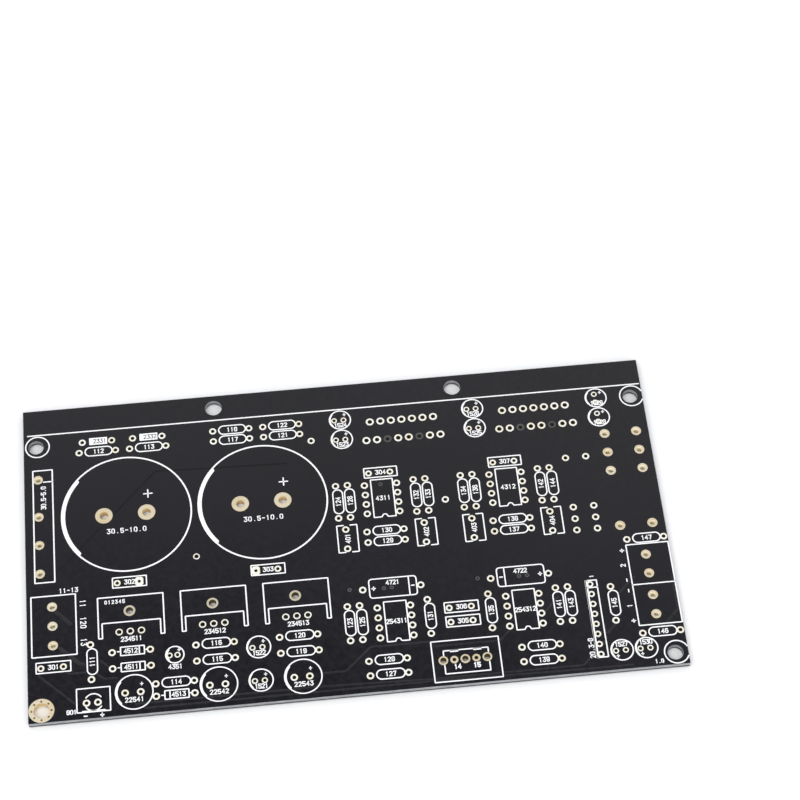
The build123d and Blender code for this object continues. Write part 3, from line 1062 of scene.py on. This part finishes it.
def draw_mains(mesh, box):
    frame_box(mesh, box, width=FIRM_LINE)
    rows = sorted((land.y for land in lands_of("mains_terminal")), reverse=True)
    for y, number in zip(rows, ("11", "120", "13")):
        write(mesh, number, box[2] + 1.45, y + 0.2, -90, height=1.2, step=1.0, width=0.6)
    write(mesh, "11-13", box[2] - 1.7, box[3] + 0.9, step=0.9)


def draw_protection(mesh, box):
    bar_width, first_pin, inset = 0.6, 2.0, CORNER / 2
    frame_box(mesh, box)
    patch(mesh, oblong((box[0] + inset, box[1] + inset, box[0] + bar_width, box[3] - inset)))
    line(mesh, [(box[0] + LINE, box[3] - first_pin), (box[2] - LINE / 2, box[3] - first_pin)])
    write(mesh, "20.3-8", box[0] - 0.75, box[1] + 2.6, 90, step=0.84)
    write(mesh, "1", centre(box)[0] + 0.3, box[3] + 0.85, 90, height=0.8, width=0.4)


# A whole node of print

def draw_film_capacitors(mesh):
    gap = 1.6
    for box in boxes("film_capacitor_outlines", gap + LINE):
        frame_box(mesh, box, open_middle=gap)
        write(mesh, next_number("film_capacitor"), *centre(box), 90)


def draw_light(mesh):
    box = boxes("led_outlines", 1.0)[0]
    frame_box(mesh, box)
    x, y = centre(box)
    lens_y, lens_radius, flat_reach, sign_x, sign_drop = y - 0.6, 2.05, 2.5, 1.85, 0.8
    arc(mesh, x, lens_y, lens_radius, 35, 145)
    arc(mesh, x, lens_y, lens_radius, 213, 327)
    flat_y = box[1] + 0.38
    line(mesh, [(x - flat_reach, flat_y), (x + flat_reach, flat_y)])
    sign(mesh, "-", x - sign_x, box[1] - sign_drop)
    sign(mesh, "+", x + sign_x, box[1] - sign_drop)
    write(mesh, next_number("light"), box[0] - 1.05, box[1] + 0.45, height=0.92, step=0.78)


def draw_outputs(mesh):
    found = outlines["output_terminal"]
    whole = found[0]
    for box in found[1:]:
        whole = joined(whole, box)
    x0, y0, x1, y1 = middle_of((whole[0], whole[1], min(whole[2], RIGHT), whole[3]))
    middle = (y0 + y1) / 2
    line(mesh, [(x0, y0), (x1, y0), (x1, y1), (x0, y1)], closed=True)
    line(mesh, [(x0, middle), (x1, middle)])
    # Turned signs stand beside the end leads and the middle ones, with each pair's number between them
    beside, inward, number = 1.1, 1.35, 5.2
    for text, y in (("+", y0 + inward), ("-", middle - inward), ("-", middle + inward), ("+", y1 - inward)):
        sign(mesh, text, x0 - beside, y, 90)
    for text, y in (("1", y0 + number), ("2", y1 - number)):
        write(mesh, text, x0 - beside - 0.3, y, 90)


def draw_connector(mesh):
    found = sorted(boxes("input_connector_outlines"), key=lambda box: box[0])
    shell, well = found[0], found[-1]
    frame_box(mesh, shell)
    x, y = centre(well)
    x0, y0, x1, y1 = middle_of(well)
    # The well's ends are open where the outer pins stand
    pin_y = connector_pins[0].y
    gap = (POST_LAND + LINE) / 2
    line(mesh, [(x0, pin_y - gap), (x0, y0), (x1, y0), (x1, pin_y - gap)])
    line(mesh, [(x0, pin_y + gap), (x0, y1), (x1, y1), (x1, pin_y + gap)])
    key_half, key_depth, label_x, label_y = 0.95, 0.6, 2.2, 1.75
    quarter = (well[2] - well[0]) / 4
    for side, number in ((-1, "14"), (1, "15")):
        key = x + side * quarter
        patch(mesh, oblong((key - key_half, well[3] - key_depth, key + key_half, well[3] - CORNER / 2)))
        write(mesh, number, x + side * label_x, well[1] + label_y, step=0.84, stroke=SIGN_STROKE)


def draw_fixing_rings(mesh):
    """A ring round each corner hole, a little off its middle as the print is, open at the board's end."""
    reach, shift_x, shift_y = 2.8, 0.33, 0.1
    for x, y, radius in plain_holes:
        if radius > CORNER_HOLE_RADIUS:
            continue
        x, y = x + shift_x, y + shift_y
        room = RIGHT - x - LINE / 2
        half = math.degrees(math.acos(room / reach)) if room < reach else 0
        arc(mesh, x, y, reach, half, 360 - half)


def draw_strip_line(mesh):
    """The line along the heat-sink strip, and the small number by the right front fixing hole."""
    low, high = [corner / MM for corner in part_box("strip_line")]
    y = (low.y + high.y) / 2
    line(mesh, [(low.x + LINE / 2, y), (high.x - LINE / 2, y)], FIRM_LINE)
    x, y = at(142.1, 1.2)
    write(mesh, "1.0", x, y, height=0.85, step=0.68, width=0.42)


ONE_BY_ONE = {
    "resistor": draw_resistor,
    "small_diode": draw_small_diode,
    "power_diode": draw_power_diode,
    "box_capacitor": draw_box_capacitor,
    "coupling_capacitor": draw_coupling,
    "can": CAN.draw,
    "close_can": draw_close_can,
    "small_can": SMALL_CAN.draw,
    "large_can": LARGE_CAN.draw,
    "reservoir_capacitor": draw_reservoir,
    "chip": draw_chip,
    "regulator": draw_regulator,
    "bridge_rectifier": draw_bridge,
    "mains_terminal": draw_mains,
    "protection_chip": draw_protection,
}
WHOLE_NODES = {
    "film_capacitor": draw_film_capacitors,
    "led": draw_light,
    "output_terminal": draw_outputs,
    "input_connector": draw_connector,
    "fixing_ring": draw_fixing_rings,
}


# Each printed node, drawn again with smooth lines
for kind, draw in ONE_BY_ONE.items():
    mesh = bmesh.new()
    for box in outlines[kind]:
        draw(mesh, box)
    piece(kind + "_print", mesh, [ink], [kind + "_outlines"])
for kind, draw in WHOLE_NODES.items():
    mesh = bmesh.new()
    draw(mesh)
    piece(kind + "_print", mesh, [ink], [kind + "_outlines"])
mesh = bmesh.new()
draw_strip_line(mesh)
piece("strip_line_print", mesh, [ink], ["strip_line"])

# Dark numbers left open in the small diodes' white blocks
mesh = bmesh.new()
for box in outlines["small_diode"]:
    x, y = centre(box)
    write(mesh, next_number("small_diode"), x + 0.35, y, step=0.8, high=TOP + LAND_RISE)
piece("open_numbers", mesh, [mask])


# Copper under the coat, and the jumper squares

# Routes in the board's own measures, each with its width
TOP_TRACKS = [
    (0.9, [(6.5, 27.5), (10, 23.8)]),
    (0.9, [(7.6, 17.8), (12, 13.5), (12.6, 13.5)]),
    (0.5, [(2.6, 11.5), (10.4, 4)]),
    (0.5, [(8.6, 12), (9.4, 11.4), (13, 11.4)]),
    (0.5, [(15.8, 10.6), (17.2, 9.4), (20, 9.4)]),
    (0.5, [(16.5, 14), (18.5, 12)]),
    (0.5, [(66.5, 5.8), (71.5, 5.8), (77.5, 11.2), (92, 11.2)]),
    (0.45, [(24, 2.6), (66, 2.6), (91, 1.9), (125, 1.9), (131, 7.9), (131, 12)]),
    (0.45, [(26, 1.4), (90, 1.4), (124, 0.9), (136, 0.9)]),
    (0.45, [(91, 9.9), (107, 9.9), (110, 12.9)]),
    (0.6, [(134.4, 17.8), (139.5, 22.9)]),
    (0.6, [(131.6, 9.4), (134.4, 12.2)]),
    (0.6, [(145.5, 10.9), (148.3, 13.7), (148.3, 22)]),
    (0.5, [(118, 16), (121.5, 19.5)]),
]

# The gap between two copper areas shows as a faint dark line behind the reservoirs
TOP_SEAM = [(0.36, [(8, 38), (31, 62), (62, 61)])]

POWER_TRACK, SIGNAL_TRACK = 2.2, 0.6
SIGNAL_ROUTES = [
    (SIGNAL_TRACK, [(26, 1.4), (90, 1.4), (124, 0.9), (136, 0.9)]),
    (SIGNAL_TRACK, [(24, 2.6), (66, 2.6), (86, 2.6), (88, 4.6)]),
]

# Kinds of land that are linked along the board on the underside, with how many rows they stand in
LINKED_ROWS = {"bridge_rectifier": 1, "mains_terminal": 1, "output_terminal": 2, "reservoir_capacitor": 2}


def draw_tracks(name, routes, material, low, high):
    mesh = bmesh.new()
    for width, route in routes:
        path = rounded([at(x, y) for x, y in route], TRACK_CORNER)
        ribbon(mesh, path, width, low=low, high=high)
    piece(name, mesh, [material])


def link_lands(first, second):
    """A track between two lands, from rim to rim, in the board's own measures."""
    start, end = Vector((first.x, first.y)), Vector((second.x, second.y))
    along = (end - start).normalized()
    start += along * (first.land / 2 + POWER_TRACK / 2 + LINING)
    end -= along * (second.land / 2 + POWER_TRACK / 2 + LINING)
    return [(start.x - LEFT, start.y - FRONT), (end.x - LEFT, end.y - FRONT)]


def power_routes():
    """Power tracks from row to row."""
    routes = []
    for kind, rows in LINKED_ROWS.items():
        found = lands_of(kind)
        routes += [(POWER_TRACK, link_lands(*pair)) for pair in zip(found[::rows], found[1::rows])]
    return routes


def make_jumper_squares():
    """Six small bare squares on the solder side."""
    half = JUMPER_SIZE / 2
    mesh = bmesh.new()
    for x, y in (at(*place) for place in JUMPERS):
        patch(mesh, oblong((x - half, y - half, x + half, y + half)), TRACK_RISE, 0.0)
    piece("jumper_squares", mesh, [pale_gold])


draw_tracks("top_tracks", TOP_TRACKS, raised_mask, TOP, TOP + TRACK_RISE)
draw_tracks("top_seam", TOP_SEAM, seam_mask, TOP, TOP + SEAM_RISE)
draw_tracks("underside_tracks", power_routes() + SIGNAL_ROUTES, raised_mask, TRACK_RISE, 0.0)
make_jumper_squares()


# Stage, light and camera

FLOOR_REACH = 3.0
FLOOR_DROP = 0.45


def make_stage():
    mesh = bmesh.new()
    for x, y in ((-1, -1), (1, -1), (1, 1), (-1, 1)):
        mesh.verts.new((x * FLOOR_REACH, y * FLOOR_REACH, 0))
    mesh.faces.new(mesh.verts)
    data = bpy.data.meshes.new("floor")
    mesh.to_mesh(data)
    mesh.free()
    data.materials.append(make_floor())
    floor = link("floor", data)
    floor.location.z = -FLOOR_DROP * MM


# The room's tones from below to overhead: bright all round and dark above, so that the black coat deepens
# towards the viewer. The tones lean a little to one side.
ROOM_LEAN = -0.06
ROOM_STRENGTH = 1.15
ROOM_TONES = [
    (0.0, (0.42, 0.42, 0.43)),
    (0.5, (0.62, 0.625, 0.64)),
    (0.83, (0.98, 0.985, 1.0)),
    (0.86, (0.98, 0.985, 1.0)),
    (0.885, (0.4, 0.405, 0.42)),
    (0.9, (0.1, 0.102, 0.11)),
    (1.0, (0.02, 0.02, 0.024)),
]


def make_room():
    world = bpy.data.worlds.new("studio")
    world.use_nodes = True
    tree = world.node_tree
    parts = add(tree, "SeparateXYZ", Vector=add(tree, "TexCoord").outputs["Generated"])
    lean = add(tree, "Math")
    lean.operation = "MULTIPLY_ADD"
    lean.inputs[1].default_value = ROOM_LEAN
    tree.links.new(parts.outputs["X"], lean.inputs[0])
    tree.links.new(parts.outputs["Z"], lean.inputs[2])
    tones = ramp(tree, lean.outputs["Value"], ROOM_TONES)
    feed(tree, tree.nodes["Background"], Color=tones, Strength=ROOM_STRENGTH)
    bpy.context.scene.world = world


def area_light(name, place, size, power):
    """A round lamp that faces the board."""
    data = bpy.data.lights.new(name, "AREA")
    data.shape = "DISK"
    data.size = size
    data.energy = power
    lamp = link(name, data)
    lamp.location = place
    lamp.rotation_euler = (-Vector(place)).to_track_quat("-Z", "Y").to_euler()


# The camera stands where the photograph was taken from: its place in millimetres, and where it looks
PICTURE = 800
FOCAL_PIXELS = 2313.67
SENSOR = 36.0
CAMERA_PLACE = (-11.380, -255.403, 477.608)
CAMERA_FORWARD = (0.04932231, 0.52029374, -0.85256186)
CAMERA_RIGHT = (0.99505143, -0.09931463, -0.00304323)


def make_camera():
    data = bpy.data.cameras.new("camera")
    data.sensor_width = SENSOR
    data.sensor_fit = "HORIZONTAL"
    data.lens = FOCAL_PIXELS / PICTURE * SENSOR
    camera = link("camera", data)
    forward, right = Vector(CAMERA_FORWARD), Vector(CAMERA_RIGHT)
    up = right.cross(forward)
    x, y, z = Vector(CAMERA_PLACE) * MM
    camera.matrix_world = Matrix((
        (right.x, up.x, -forward.x, x),
        (right.y, up.y, -forward.y, y),
        (right.z, up.z, -forward.z, z),
        (0, 0, 0, 1),
    ))
    bpy.context.scene.camera = camera


make_stage()
make_room()
area_light("overhead", (-0.25, -0.42, 1.25), size=1.1, power=10)
area_light("front", (0.5, -1.1, 0.8), size=0.8, power=3.5)
make_camera()
bpy.context.scene.view_settings.view_transform = "Standard"
